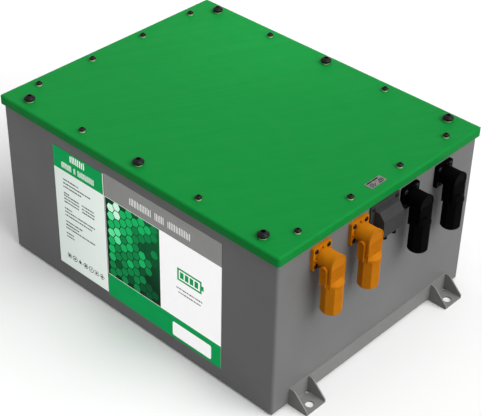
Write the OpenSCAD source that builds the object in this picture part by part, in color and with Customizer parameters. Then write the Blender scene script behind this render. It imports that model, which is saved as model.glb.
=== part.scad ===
/* [Cells] */
// Thickness of one cell along the pack
cell_t = 54; // [48:0.5:60]
// Width of one cell across the pack
cell_w = 174; // [160:1:190]
// Height of one cell can
cell_h = 203; // [190:1:220]
// Cells in each of the two rows
cells_per_row = 8; // [6:2:10]
// Radius of a cell can's upright edges
cell_edge_r = 3; // [1:0.5:6]
// Distance between a cell's two terminals
terminal_span = 120; // [100:1:130]
// Side of a square terminal pad
terminal_side = 20; // [16:1:24]
// Height of a terminal pad
terminal_h = 3; // [2:0.5:5]
// Diameter of the terminal thread
terminal_bolt_d = 6; // [5:0.5:8]

/* [Cell stack] */
// Thickness of the pad between two cells
pad_t = 1; // [0.5:0.25:2]
// Thickness of the sheet under the cells
base_pad_t = 3; // [2:0.5:6]
// Thickness of the divider between the two rows
divider_t = 12; // [8:1:20]
// Thickness of an end plate
end_plate_t = 8; // [6:0.5:12]
// How far an end plate stops below the cell tops
end_plate_drop = 4; // [2:0.5:10]
// Reach of an end plate's foot along the floor
end_foot_l = 22; // [20:1:24]
// Thickness of an end plate's foot
end_foot_t = 8; // [6:0.5:12]
// Thickness of a side plate
side_plate_t = 2; // [1.5:0.5:4]
// Height of a side plate
side_plate_h = 140; // [100:1:160]
// Height of a side plate's lower edge above the floor sheet
side_plate_rise = 36; // [25:1:40]
// Thread diameter of the side plate screws
side_screw_d = 4; // [3:0.5:5]
// Thickness of the cell links and of all copper bars
bar_t = 3; // [2:0.5:5]
// Width of a cell link
link_w = 22; // [18:1:26]
// Inner radius of the bend in a cell link
link_bend_r = 4; // [3:0.5:6]
// Height of the cover's top above the cell tops
cover_h = 18; // [16:0.5:24]
// Wall of the insulating cover
cover_t = 2.5; // [2:0.5:4]

/* [Case] */
// Sheet thickness of the case
sheet = 2; // [1.5:0.5:3]
// Outer radius of the case's upright corners
case_corner_r = 4; // [3.5:0.5:8]
// Outer radius of the fold between the floor and the walls
floor_fold_r = 3; // [2.5:0.5:5]
// Free space between the cell stack and the rear wall
rear_gap = 26; // [25:1:60]
// Free space between the cell stack and each side wall
side_gap = 32; // [15:1:60]
// Space above the cells for links and electronics
head_room = 69; // [60:1:90]
// Width of the rim that the lid is screwed to
rim_w = 30; // [29:0.5:36]
// Height of the case's underside above the feet
case_lift = 2; // [1.5:0.5:6]

/* [Feet] */
// Sheet thickness of the foot rails
foot_t = 2; // [1.5:0.5:2.5]
// Inner radius of the folds
fold_r = 1.5; // [0.5:0.5:3]
// Reach of a foot from the case wall
foot_reach = 34; // [31:1:50]
// Width of a foot
foot_w = 40; // [36:1:60]
// Distance between the centres of two feet on one rail
foot_pitch = 322; // [322:1:340]
// Height of the rail on the case wall
rail_h = 28.5; // [24:0.5:40]
// Gap between the case's underside and the rail's lower edge
rail_gap = 1.8; // [0.5:0.1:4]
// Length of the level top of a gusset
gusset_top_l = 9.5; // [6:0.5:14]
// Upright end of a gusset
gusset_end_h = 4; // [2:0.5:6]
// Radius at a gusset's upright end
gusset_end_r = 3; // [1:0.5:4]
// Radius of a gusset's shoulder
gusset_r = 6; // [2:0.5:6]
// Diameter of the mounting hole in a foot
foot_hole_d = 13; // [9:0.5:16]
// Distance of the mounting hole from the case wall
foot_hole_out = 22; // [20:0.5:24]
// Diameter of the relief hole where two folds meet
relief_d = 6; // [3:0.5:6]

/* [Lid] */
// Sheet thickness of the lid
lid_sheet = 2; // [1.5:0.5:3]
// Gap between the lid's skirt and the case
lid_gap = 2.25; // [1:0.25:4]
// Height of the skirt below the lid's top
skirt_h = 14; // [10:0.5:20]
// Radius of the lid's folded edge
lid_edge_r = 3.4; // [2.5:0.1:5]
// Outer radius of the lid's corners
lid_corner_r = 5; // [4:0.5:8]
// Thickness of the lid gasket
gasket_t = 2; // [1.5:0.5:4]
// Distance of the gasket's edges from the rim's edges
gasket_inset = 2; // [1:0.5:3]
// Distance of all lid screws from the case's edge
screw_inset = 16.7; // [15.5:0.1:18]
// Distance of the corner screws from the case's end walls
corner_screw_inset = 42; // [34:0.5:60]
// Distance between two screws along the short sides
end_screw_pitch = 107; // [80:1:112]
// Thread diameter of the large lid screws
large_screw_d = 10; // [9:0.5:12]
// Head diameter of the large lid screws
large_head_d = 17.5; // [15:0.5:20]
// Thread diameter of the small lid screws
small_screw_d = 6; // [5:0.5:7]
// Head diameter of the small lid screws
small_head_d = 10.5; // [9:0.5:12]
// Length of the lid screws under the head
lid_screw_l = 16; // [14:1:18]
// Thickness of the spacer rings below the lid screws' heads
washer_t = 2.2; // [1:0.1:3]
// Wall of the spacer rings
washer_wall = 0.8; // [0.6:0.1:2]
// Length of the small nameplate
plate_l = 33; // [20:1:50]
// Width of the small nameplate
plate_w = 14; // [10:1:20]
// Thickness of the small nameplate
plate_t = 0.6; // [0.4:0.1:1.5]
// Distance of the nameplate's centre from the case's connector wall
plate_inset = 17; // [12:1:20]

/* [Labels] */
// Thickness of the label film
film_t = 0.4; // [0.2:0.1:1]
// Width of the data label
data_label_w = 110; // [80:1:130]
// Height of the data label
data_label_h = 217; // [150:1:225]
// Width of the front label
front_label_w = 235; // [150:1:250]
// Height of the front label
front_label_h = 223; // [150:1:225]
// Gap between the two labels
label_gap = 1.5; // [0.5:0.5:6]
// Distance of the labels' right edge from the connector wall
label_inset = 99; // [60:1:110]
// Height of the front label's lower edge above the case's underside
label_rise = 25; // [15:1:30]
// Height of the data label's lower edge above the front label's
data_label_step = 3.5; // [0:0.5:10]

/* [Power sockets] */
// Distance between the two sockets of one pole
socket_pitch = 78; // [60:1:80]
// Distance between the inner sockets of the two poles
pole_gap = 112; // [108:1:130]
// Distance of the sockets' axes below the case's rim
socket_drop = 35.7; // [34:0.1:45]
// Side of the square flange
flange_side = 36.5; // [34:0.5:40]
// Thickness of the flange
flange_t = 5.5; // [4:0.5:7]
// Radius of the flange's corners
flange_r = 3; // [1:0.5:5]
// Distance between the flange screws
flange_pitch = 24.5; // [23:0.5:27]
// Diameter of the barrel behind the flange
barrel_d = 25; // [22:0.5:26]
// Length of the barrel inside the case
barrel_l = 20; // [14:1:30]
// Diameter of the contact pin and its threaded stud
pin_d = 8; // [6:0.5:9]
// Thread diameter of the flange screws
panel_screw_d = 4; // [3:0.5:5]
// Head diameter of the flange screws
panel_head_d = 7.6; // [6:0.2:7.6]

/* [Power plugs] */
// Radius of the plug's round head
head_r = 14; // [13:0.25:15]
// Distance of the plug's front plate from the case wall
front_reach = 34; // [33:0.5:37]
// Thickness of the plug's front plate
front_plate_t = 3.5; // [2.5:0.5:5]
// Rim of the front plate around the head
front_rim = 0.7; // [0.5:0.1:1.5]
// Distance of the cable's axis from the case wall
cable_out = 26; // [25:0.25:26.5]
// Height of the plug's arm below the socket's axis
arm_h = 34; // [32:0.5:40]
// Radius of the gland nut across its corners
gland_r = 15.8; // [15.5:0.1:17]
// Length of the gland nut
gland_l = 48; // [40:1:60]
// Radius of the gland nut's lower edge
gland_edge_r = 6; // [3:0.5:6]
// Angle that the gland nuts are turned by
gland_turn = 7; // [0:1:44]
// Diameter of the cable entry
cable_d = 13; // [11:0.5:14]
// Grip ribs on the front plate
grip_ribs = 8; // [4:1:8]
// Distance between two grip ribs
grip_pitch = 2.6; // [2:0.1:2.8]

/* [Signal hood] */
// Width of the hood's flange
hood_flange_w = 62; // [58:1:64]
// Height of the hood's flange
hood_flange_h = 58; // [54:1:62]
// Thickness of the hood's flange
hood_flange_t = 3; // [2.5:0.5:5]
// Distance of the hood's centre below the case's rim
hood_drop = 42.5; // [40:0.5:48]
// Width of the hood's body at the wall
hood_w = 46; // [42:0.5:47]
// Width of the hood's front
hood_front_w = 43; // [38:0.5:46]
// Height of the hood's body
hood_h = 39; // [34:0.5:41]
// Distance of the hood's front from the case wall
hood_reach = 20; // [18:0.5:24]
// Length of the hood's level top
hood_top_l = 11; // [9:0.5:14]
// Drop of the hood's sloping front
hood_slope = 11.5; // [8:0.5:18]
// Wall of the hood
hood_wall = 2; // [1.5:0.5:3]
// Distance between the hood's two cable glands
hood_gland_pitch = 20; // [16:1:24]
// Diameter of the hood's cable glands
hood_gland_d = 7; // [6:0.5:9]
// Length of the glands below the hood
hood_gland_l = 8; // [4:0.5:12]

/* [Power parts] */
// Depth of the contactor
contactor_d = 43; // [36:1:60]
// Width of the contactor
contactor_w = 70; // [64:1:80]
// Height of the contactor
contactor_h = 75; // [60:1:80]
// Height of the contactor above the floor sheet
contactor_rise = 36; // [30:1:40]
// Distance between the contactor's terminals
contactor_pitch = 34; // [32:1:40]
// Diameter of the fuse body
fuse_d = 30; // [24:1:32]
// Length of the fuse body
fuse_l = 56; // [40:1:60]
// Length of a fuse blade
blade_l = 30; // [26:1:32]
// Width of the copper bars
bar_w = 24; // [20:1:26]
// Height of a shunt block
shunt_block_h = 24; // [20:1:28]
// Gap between the shunt's blocks
shunt_gap = 20; // [12:1:24]
// Length of the management board
board_l = 220; // [150:1:240]
// Width of the management board
board_w = 130; // [100:1:160]
// Thickness of the board's heat sink plate
bms_plate_t = 4; // [2:0.5:6]
// Height of the board above the plate
standoff_h = 8; // [5:0.5:12]

/* [Hidden] */
$fn = 48;

// Radial play of a shank or barrel in its hole
fit = 0.1;
// Added to the diameter of a clearance hole
hole_play = 0.4;
// How far a cutter runs past a face, or a joined body into its neighbour
over = 1;
// How far a screw or a stud stands out of its nut
screw_end = 1;
stud_end = 3;

// Nuts and studs of standard sizes
m8_d = 8;
m8_hole_d = m8_d + hole_play;
m8_nut_h = 6.5;
m8_nut_af = 13;
panel_nut_h = 3.2;
panel_nut_af = 7;

// Sizes of the cell stack
cell_pitch = cell_t + pad_t;
stack_l = cells_per_row * cell_pitch + pad_t;
stack_w = 2 * cell_w + divider_t;
module_l = stack_l + 2 * end_plate_t;
bay_l = contactor_d + 2 * bar_t + barrel_l;

// Outer sizes of the case and the lid
case_l = module_l + bay_l + rear_gap + 2 * sheet;
case_w = stack_w + 2 * side_plate_t + 2 * side_gap + 2 * sheet;
case_h = sheet + base_pad_t + cell_h + head_room;
case_top = case_lift + case_h;
lid_overhang = lid_gap + lid_sheet;
lid_l = case_l + 2 * lid_overhang;
lid_w = case_w + 2 * lid_overhang;
lid_top = case_top + gasket_t + lid_sheet;

// Places along the pack, from the connector wall inwards
wall_out = case_l / 2;
wall_in = wall_out - sheet;
module_front = wall_in - bay_l;
module_back = module_front - module_l;
module_mid = (module_front + module_back) / 2;
bar_face = wall_in - barrel_l;
contactor_face = bar_face - 2 * bar_t;

// Heights
floor_z = case_lift + sheet;
cell_z = floor_z + base_pad_t;
cell_top = cell_z + cell_h;
link_z = cell_top + terminal_h;
end_plate_top = cell_top - end_plate_drop;
cover_top = cell_top + cover_h;
board_z = cover_top + bms_plate_t + standoff_h;
socket_z = case_top - socket_drop;
hood_z = case_top - hood_drop;

// Places across the pack
row_y = (divider_t + cell_w) / 2;
inner_terminal_y = row_y - terminal_span / 2;
near_wall_y = -case_w / 2;
socket_ys = [
  -pole_gap / 2 - socket_pitch, -pole_gap / 2, pole_gap / 2, pole_gap / 2 + socket_pitch
];
pole_y = (pole_gap + socket_pitch) / 2;

// Contactor and fuse
relay_z = floor_z + contactor_rise;
contactor_pole_drop = 15;
terminal_z = relay_z + contactor_h - contactor_pole_drop;
fuse_y = -pole_y - contactor_pitch / 2;
lead_y = -pole_y + contactor_pitch / 2;
fuse_z = terminal_z + blade_l - bar_w / 2;
fuse_top_hole_z = fuse_z + fuse_l + blade_l - bar_w / 2;
socket_bar_low = fuse_top_hole_z - bar_w / 2;
contactor_screw_d = 5;
contactor_ear = 9;
contactor_ear_t = 5;
contactor_boss_d = 18;
contactor_boss_h = 3;
contactor_gap = 4;
contactor_screw_spots = [
  for (y = [-1, 1], z = [0.25, 0.75])
    [-pole_y + y * (contactor_w + contactor_ear) / 2, relay_z + z * contactor_h]
];
fuse_cap_h = 6;
fuse_cap_wall = 1.5;
bar_end = 4;

// Shunt
shunt_low = socket_bar_low - shunt_gap - shunt_block_h;
shunt_block_t = 8;
lead_setback = 12;
shunt_front = bar_face - bar_t;
shunt_hole_low = shunt_low + shunt_block_h / 2;
strip_count = 3;
strip_t = 1.2;
strip_inset = 2;

// Cell details
terminal_r = 2;
thread_depth = 9;
vent_w = 14;
vent_l = 30;
vent_depth = 0.5;

// Plates round the stack, and the studs that hold them down
side_plate_z = floor_z + side_plate_rise;
side_screw_inset = 15;
side_screw_l = 12;
side_screw_xs = [module_back + end_plate_t / 2, module_front - end_plate_t / 2];
side_screw_zs = [side_plate_z + side_screw_inset, side_plate_z + side_plate_h - side_screw_inset];
end_rib_t = 6;
end_rib_inset = 20;
end_rib_y = stack_w / 2 - end_rib_inset;
stud_y = stack_w / 3;
stud_out = 13;
front_stud_x = module_front + stud_out;
rear_stud_x = module_back - stud_out;
weld_stud_spots = [for (x = [front_stud_x, rear_stud_x], y = [-stud_y, stud_y]) [x, y]];

// Labels
front_label_x = wall_out - label_inset - front_label_w;
data_label_x = front_label_x - label_gap - data_label_w;
label_z = case_lift + label_rise;
plate_corner_r = 0.8;

// Socket details
spigot_l = 14;
spigot_d = 19;
spigot_bore = 13.6;
pin_recess = 2;
seal_groove_r = 13.9;
seal_d = 1.8;
lug_w = 2;
lug_h = 2.4;
lug_gap = 0.4;

// Plug details
plate_r = head_r + front_rim;
head_gap = 0.3;
head_x = flange_t + head_gap;
neck_step = 0.7;
neck_r = head_r - neck_step;
neck_l = 2.6;
arm_inset = 1;
arm_w = 2 * (head_r - arm_inset);
arm_back = 11;
back_rib_out = 2.5;
back_rib_w = 23;
back_rib_low = 7;
back_rib_top = 9;
recess_rim = 1.6;
recess_depth = 0.5;
recess_low = 4;
grip_start = 5;
grip_depth = 1.6;
grip_side_l = 2.2;
grip_side_depth = 1.1;
pad_mid = 22;
pad_half = 5.6;
pad_out = 17.4;
pad_top = 2.4;
pad_rim = 1.4;
pad_field_depth = 1.8;
collar_step = 0.2;
collar_r = gland_r - collar_step;
scoop_z = 21;
scoop_top_r = 6;
thread_r = 12.6;
thread_l = 14;
spigot_end_gap = 1.2;
cable_play = 1;
seal_floor = 12;
seal_gap = 1;
seal_l = gland_l - seal_floor - thread_l - seal_gap;

// Plug contacts
crown_r = 6.4;
crown_gap = 1.5;
crimp_r = 5.4;
crimp_wall = 0.9;
crimp_start = 4;
crimp_room = 2;
crimp_bore_l = 15;

// Signal hood details
hood_corner_r = 2;
hood_edge_r = 1;
hood_screw_inset = 5.5;
hood_gland_x = 14;
hood_neck_step = 1;
hood_neck_d = hood_gland_d - 2 * hood_neck_step;
signal_wire_d = 3.5;
insert_w = 34;
insert_h = 20;
insert_l = 16;
insert_reach = 8;
insert_r = 2;

// Lid screws
screw_x = case_l / 2 - screw_inset;
screw_y = case_w / 2 - screw_inset;
corner_x = case_l / 2 - corner_screw_inset;
large_spots = [for (x = [-corner_x, 0, corner_x], y = [-screw_y, screw_y]) [x, y]];
small_spots = concat(
  [for (x = [-corner_x / 2, corner_x / 2], y = [-screw_y, screw_y]) [x, y]],
  [for (x = [-screw_x, screw_x], k = [-1.5, -0.5, 0.5, 1.5]) [x, k * end_screw_pitch]]
);

// Rivet nuts
nut_flange_t = 1;
nut_flange_w = 2;
nut_bulge_h = 2.5;
nut_bulge_step = 0.5;
nut_wall = 1.5;
large_nut_l = 19;
small_nut_l = 14;

// Board parts
board_t = 1.6;
board_corner_r = 4;
bms_screw_d = 4;
boss_d = 12;
boss_h = 2;
standoff_d = 8;
bms_screw_inset = 8;
bms_x = board_l / 2 - bms_screw_inset;
bms_y = board_w / 2 - bms_screw_inset;
switch_count = 10;
switch_margin = 20;
switch_row_share = 0.3;
switch_row_y = switch_row_share * board_w;
switch_l = 10;
switch_w = 16;
switch_h = 4.5;
capacitor_count = 4;
capacitor_pitch = 16;
capacitor_d = 12;
capacitor_h = 16;
header_d = 14;
header_w = 52;
header_h = 10;
header_inset = 4;
slot_play = 2;

positive_tint = "darkorange";
negative_tint = [0.06, 0.06, 0.06];
steel_tint = [0.45, 0.45, 0.45];
lid_tint = [0.13, 0.58, 0.27];
screw_tint = [0.12, 0.13, 0.13];
copper_tint = [0.75, 0.43, 0.25];
zinc_tint = [0.8, 0.78, 0.72];

// Outline helpers
function unit(v) = v / norm(v);

// Points of the arc of radius r that rounds the corner p between a and b
function corner_arc(a, p, b, r, steps = 6) =
  r == 0 ? [p] :
  let (
    u = unit(a - p),
    v = unit(b - p),
    half = acos(u * v) / 2,
    centre = p + unit(u + v) * r / sin(half),
    from = p + u * r / tan(half) - centre,
    to = p + v * r / tan(half) - centre,
    start = atan2(from.y, from.x),
    turn = atan2(from.x * to.y - from.y * to.x, from * to)
  )
  [for (i = [0:steps]) centre + r * [cos(start + turn * i / steps), sin(start + turn * i / steps)]];

// Outline through the corners [x, y, radius]
function rounded(path) = [
  for (i = [0:len(path) - 1])
    let (a = path[(i + len(path) - 1) % len(path)], p = path[i], b = path[(i + 1) % len(path)])
    each corner_arc([a.x, a.y], [p.x, p.y], [b.x, b.y], p[2])
];

// Rectangle with true round corners
module rounded_rect(l, w, r) {
  square([l - 2 * r, w], center = true);
  square([l, w - 2 * r], center = true);
  for (x = [-1, 1], y = [-1, 1]) {
    translate([x * (l / 2 - r), y * (w / 2 - r)]) circle(r);
  }
}

// Block with round upright edges, standing on z = 0
module slab(l, w, h, r) {
  linear_extrude(h) rounded_rect(l, w, r);
}

// Cylinder along +X from the origin
module x_rod(d, l) {
  rotate([0, 90, 0]) cylinder(d = d, h = l);
}

// Cylinder along Y, centred on the origin
module y_rod(d, l) {
  rotate([90, 0, 0]) cylinder(d = d, h = l, center = true);
}

// Profile drawn in X and Z, extruded along Y and centred
module xz_profile(w) {
  rotate([90, 0, 0]) translate([0, 0, -w / 2]) linear_extrude(w) children();
}

// Profile drawn in Y and Z, extruded along +X
module yz_profile(l) {
  rotate([90, 0, 90]) linear_extrude(l) children();
}

// Hexagonal prism standing on z = 0, with a bore
module hex_nut(af, h, bore) {
  difference() {
    cylinder(d = af / cos(30), h = h, $fn = 6);
    translate([0, 0, -over]) cylinder(d = bore, h = h + 2 * over);
  }
}

// Flat ring standing on z = 0
module ring(outer, inner, h) {
  difference() {
    cylinder(d = outer, h = h);
    translate([0, 0, -over]) cylinder(d = inner, h = h + 2 * over);
  }
}

// Low domed screw with a hexagon socket, its head standing on z = 0 and its shank below
module button_screw(d, l, head_d) {
  head_h = 0.55 * d;
  edge_h = 0.12 * head_h;
  difference() {
    union() {
      cylinder(d = head_d, h = edge_h);
      translate([0, 0, edge_h]) dome(head_d / 2, head_h - edge_h);
      translate([0, 0, -l]) cylinder(d = d, h = l + edge_h);
    }
    socket_recess(d, head_h);
  }
}

// High domed screw whose head narrows towards its seat
module dome_screw(d, l, head_d) {
  head_h = 0.8 * d;
  taper_h = 0.24 * d;
  band_h = 0.1 * d;
  seat_r = head_d / 2 - 0.14 * d;
  difference() {
    union() {
      cylinder(r1 = seat_r, r2 = head_d / 2, h = taper_h);
      translate([0, 0, taper_h]) cylinder(d = head_d, h = band_h);
      translate([0, 0, taper_h + band_h]) dome(head_d / 2, head_h - taper_h - band_h);
      translate([0, 0, -l]) cylinder(d = d, h = l + taper_h);
    }
    socket_recess(d, head_h);
  }
}

// Part of a sphere that is r wide at z = 0 and h high
module dome(r, h) {
  ball_r = (r * r + h * h) / (2 * h);
  intersection() {
    cylinder(r = r, h = h);
    translate([0, 0, h - ball_r]) sphere(ball_r);
  }
}

// Cutter for the hexagon socket in a screw's head
module socket_recess(d, head_h) {
  recess_z = 0.45 * head_h;
  key_af = 0.6 * d;
  translate([0, 0, recess_z]) cylinder(d = key_af / cos(30), h = head_h, $fn = 6);
}

// Button head screw of the usual proportions
module inner_screw(d, l) {
  head_d = 1.75 * d;
  button_screw(d, l, head_d);
}

// Hexagon head screw with a washer face, standing on z = 0
module hex_screw(d, l) {
  washer_d = 2.1 * d;
  washer_h = 0.15 * d;
  across_flats = 1.65 * d;
  head_h = 0.7 * d;
  cylinder(d = washer_d, h = washer_h);
  cylinder(d = across_flats / cos(30), h = head_h, $fn = 6);
  translate([0, 0, -l]) cylinder(d = d, h = l + 2 * washer_h);
}

// Case
module case() {
  color(steel_tint) difference() {
    union() {
      translate([0, 0, case_lift]) case_tray();
      for (spot = weld_stud_spots) {
        translate([spot.x, spot.y, floor_z - sheet / 2])
          cylinder(d = m8_d, h = sheet / 2 + end_foot_t + m8_nut_h + stud_end);
      }
    }
    for (spot = large_spots) rim_hole(spot, large_screw_d);
    for (spot = small_spots) rim_hole(spot, small_screw_d);
    for (y = socket_ys) translate([wall_in - over, y, socket_z]) socket_cutout();
    translate([wall_in - over, 0, hood_z]) hood_cutout();
  }
}

module case_tray() {
  inner_h = case_h - 2 * sheet;
  difference() {
    translate([0, 0, case_h]) mirror([0, 0, 1])
      folded_blank(case_l, case_w, case_h, floor_fold_r, case_corner_r);
    translate([0, 0, sheet])
      slab(case_l - 2 * sheet, case_w - 2 * sheet, inner_h, case_corner_r - sheet);
    translate([0, 0, sheet])
      slab(case_l - 2 * rim_w, case_w - 2 * rim_w, case_h, case_corner_r);
  }
}

module rim_hole(spot, d) {
  translate([spot.x, spot.y, case_top - sheet - over])
    cylinder(d = d + 2 * nut_wall + hole_play, h = sheet + 2 * over);
}

module socket_cutout() {
  x_rod(barrel_d + 2 * fit, sheet + 2 * over);
  at_flange_screws() x_rod(panel_screw_d + 2 * fit, sheet + 2 * over);
}

// The four screw places of a socket's flange
module at_flange_screws() {
  for (y = [-1, 1], z = [-1, 1]) {
    translate([0, y * flange_pitch / 2, z * flange_pitch / 2]) children();
  }
}

module hood_cutout() {
  yz_profile(sheet + 2 * over) rounded_rect(insert_w + 2 * fit, insert_h + 2 * fit, insert_r);
  for (spot = hood_screw_spots()) {
    translate([0, spot.x, spot.y]) x_rod(panel_screw_d + 2 * fit, sheet + 2 * over);
  }
}

// Foot rail for the wall at +X: a folded strip with a foot near each end
module foot_rail() {
  rail_l = foot_pitch + foot_w;
  rail_top = case_lift + rail_h;
  difference() {
    translate([wall_out, 0, 0]) {
      translate([0, -rail_l / 2, case_lift + rail_gap]) cube([foot_t, rail_l, rail_h - rail_gap]);
      for (side = [-1, 1]) translate([0, side * foot_pitch / 2, 0]) foot(rail_top);
    }
    for (side = [-1, 1]) translate([wall_out, side * foot_pitch / 2, -over]) {
      translate([foot_hole_out, 0, 0]) cylinder(d = foot_hole_d, h = foot_t + 2 * over);
      for (y = [-1, 1]) {
        translate([foot_t + fold_r, y * (foot_w / 2 - foot_t - fold_r), 0])
          cylinder(d = relief_d, h = foot_t + fold_r + over);
      }
    }
  }
}

// One foot: a base, the strip behind it and two gussets, all folded from one sheet
module foot(rail_top) {
  xz_profile(foot_w) fold_profile(foot_reach, rail_top);
  for (side = [-1, 1]) {
    translate([0, side * (foot_w / 2 - foot_t / 2), 0]) xz_profile(foot_t) polygon(rounded([
      [0, 0, 0],
      [foot_reach, 0, 0],
      [foot_reach, gusset_end_h + foot_t, gusset_end_r],
      [gusset_top_l, rail_top, gusset_r],
      [0, rail_top, 0]
    ]));
    translate([0, side * (foot_w / 2 - foot_t), 0]) base_fillet(side);
  }
}

// Angle section with a round fold
module fold_profile(reach, h) {
  bend = foot_t + fold_r;
  difference() {
    union() {
      translate([bend, 0]) square([reach - bend, foot_t]);
      translate([0, bend]) square([foot_t, h - bend]);
      intersection() {
        translate([bend, bend]) circle(bend);
        square(bend);
      }
    }
    translate([bend, bend]) circle(fold_r);
  }
}

// Round fold between a foot's base and a gusset
module base_fillet(side) {
  l = foot_reach - foot_t;
  sunk = fold_r / 2;
  translate([foot_t / 2, 0, foot_t - sunk]) difference() {
    translate([0, side > 0 ? -fold_r : 0, 0]) cube([l, fold_r, fold_r + sunk]);
    translate([-over, -side * fold_r, fold_r + sunk]) x_rod(2 * fold_r, l + 2 * over);
  }
}

module foot_rail_front() {
  color(steel_tint) foot_rail();
}

module foot_rail_rear() {
  color(steel_tint) mirror([1, 0, 0]) foot_rail();
}

// Block with round upright edges and a round top edge, as a folded sheet has
module folded_blank(l, w, h, edge_r, corner_r) {
  intersection() {
    slab(l, w, h, corner_r);
    xz_profile(w + 2 * over) fold_top(l, h, edge_r);
    rotate([0, 0, 90]) xz_profile(l + 2 * over) fold_top(w, h, edge_r);
  }
}

module fold_top(l, h, r) {
  translate([-l / 2, -over]) square([l, h - r + over]);
  translate([-l / 2 + r, 0]) square([l - 2 * r, h]);
  for (x = [-1, 1]) translate([x * (l / 2 - r), h - r]) circle(r);
}

module lid() {
  color(lid_tint) translate([0, 0, lid_top - skirt_h]) difference() {
    folded_blank(lid_l, lid_w, skirt_h, lid_edge_r, lid_corner_r);
    translate([0, 0, -over]) folded_blank(
      lid_l - 2 * lid_sheet, lid_w - 2 * lid_sheet, skirt_h - lid_sheet + over,
      lid_edge_r - lid_sheet, lid_corner_r - lid_sheet
    );
    for (spot = large_spots) lid_hole(spot, large_screw_d);
    for (spot = small_spots) lid_hole(spot, small_screw_d);
  }
}

// Cutter for a screw's hole in the lid
module lid_hole(spot, d) {
  translate([spot.x, spot.y, 0]) cylinder(d = d + hole_play, h = skirt_h + over);
}

module lid_gasket() {
  inner_l = case_l - 2 * rim_w + 2 * gasket_inset;
  inner_w = case_w - 2 * rim_w + 2 * gasket_inset;
  color("dimgray") translate([0, 0, case_top]) difference() {
    slab(case_l - 2 * gasket_inset, case_w - 2 * gasket_inset, gasket_t, case_corner_r);
    translate([0, 0, -over]) slab(inner_l, inner_w, gasket_t + 2 * over, case_corner_r);
    for (spot = large_spots) gasket_hole(spot, large_screw_d);
    for (spot = small_spots) gasket_hole(spot, small_screw_d);
  }
}

module gasket_hole(spot, d) {
  translate([spot.x, spot.y, -over])
    cylinder(d = nut_flange_d(d) + hole_play, h = gasket_t + 2 * over);
}

function nut_flange_d(d) = d + 2 * (nut_wall + nut_flange_w);

module rivet_nut(d, l) {
  bulge_d = nut_flange_d(d) - 2 * nut_bulge_step;
  difference() {
    union() {
      cylinder(d = nut_flange_d(d), h = nut_flange_t);
      translate([0, 0, nut_flange_t - l]) cylinder(d = d + 2 * nut_wall, h = l);
      translate([0, 0, -sheet - nut_bulge_h]) cylinder(d = bulge_d, h = nut_bulge_h);
    }
    translate([0, 0, -l - over]) cylinder(d = d + 2 * fit, h = l + 3 * over);
  }
}

module rivet_nuts() {
  color(zinc_tint) translate([0, 0, case_top]) {
    for (spot = large_spots) translate([spot.x, spot.y, 0]) rivet_nut(large_screw_d, large_nut_l);
    for (spot = small_spots) translate([spot.x, spot.y, 0]) rivet_nut(small_screw_d, small_nut_l);
  }
}

module lid_washers() {
  color(zinc_tint) translate([0, 0, lid_top]) {
    for (spot = large_spots) translate([spot.x, spot.y, 0]) spacer_ring(large_screw_d);
    for (spot = small_spots) translate([spot.x, spot.y, 0]) spacer_ring(small_screw_d);
  }
}

module spacer_ring(d) {
  bore = d + hole_play;
  ring(bore + 2 * washer_wall, bore, washer_t);
}

module lid_screws_large() {
  color(screw_tint) for (spot = large_spots) {
    translate([spot.x, spot.y, lid_top + washer_t])
      dome_screw(large_screw_d, lid_screw_l, large_head_d);
  }
}

module lid_screws_small() {
  color(screw_tint) for (spot = small_spots) {
    translate([spot.x, spot.y, lid_top + washer_t])
      dome_screw(small_screw_d, lid_screw_l, small_head_d);
  }
}

module lid_plate() {
  color("silver") translate([wall_out - plate_inset, 0, lid_top])
    slab(plate_w, plate_l, plate_t, plate_corner_r);
}

// Label on the near wall
module label_film(x0, z0, l, h) {
  translate([x0, near_wall_y - film_t, z0]) cube([l, film_t, h]);
}

module label_front() {
  color([0.07, 0.57, 0.31])
    label_film(front_label_x, label_z, front_label_w, front_label_h);
}

module label_data() {
  color([0.83, 0.87, 0.85])
    label_film(data_label_x, label_z + data_label_step, data_label_w, data_label_h);
}

// Power sockets, drawn with the outer wall face at x = 0 and the axis at y = z = 0
module socket() {
  difference() {
    union() {
      yz_profile(flange_t) rounded_rect(flange_side, flange_side, flange_r);
      translate([-sheet - barrel_l, 0, 0]) x_rod(barrel_d, barrel_l + sheet + flange_t / 2);
      translate([flange_t / 2, 0, 0]) x_rod(spigot_d, flange_t / 2 + spigot_l);
      for (turn = [0, 90]) rotate([turn, 0, 0]) {
        translate([flange_t / 2, -lug_w / 2, head_r + lug_gap]) cube([flange_t, lug_w, lug_h]);
      }
    }
    translate([-sheet - barrel_l - over, 0, 0])
      x_rod(pin_d + 2 * fit, barrel_l + sheet + flange_t + over);
    translate([flange_t - over / 2, 0, 0]) x_rod(spigot_bore, spigot_l + 2 * over);
    translate([-over, 0, 0]) difference() {
      x_rod(2 * seal_groove_r + seal_d + 2 * fit, over + seal_d);
      x_rod(2 * seal_groove_r - seal_d - 2 * fit, over + seal_d);
    }
    translate([-over, 0, 0]) at_flange_screws() x_rod(panel_screw_d + 2 * fit, flange_t + 2 * over);
  }
}

module at_socket(i) {
  translate([wall_out, socket_ys[i], socket_z]) children();
}

module socket_pos_a() {
  color(positive_tint) at_socket(0) socket();
}

module socket_pos_b() {
  color(positive_tint) at_socket(1) socket();
}

module socket_neg_a() {
  color(negative_tint) at_socket(2) socket();
}

module socket_neg_b() {
  color(negative_tint) at_socket(3) socket();
}

// Contact pin that ends in a threaded stud behind the barrel
module socket_pin() {
  stud_l = bar_t + m8_nut_h + stud_end;
  translate([-sheet - barrel_l - stud_l, 0, 0])
    x_rod(pin_d, stud_l + barrel_l + sheet + flange_t + spigot_l - pin_recess);
}

module socket_pins() {
  color(copper_tint) for (i = [0:3]) at_socket(i) socket_pin();
}

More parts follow.
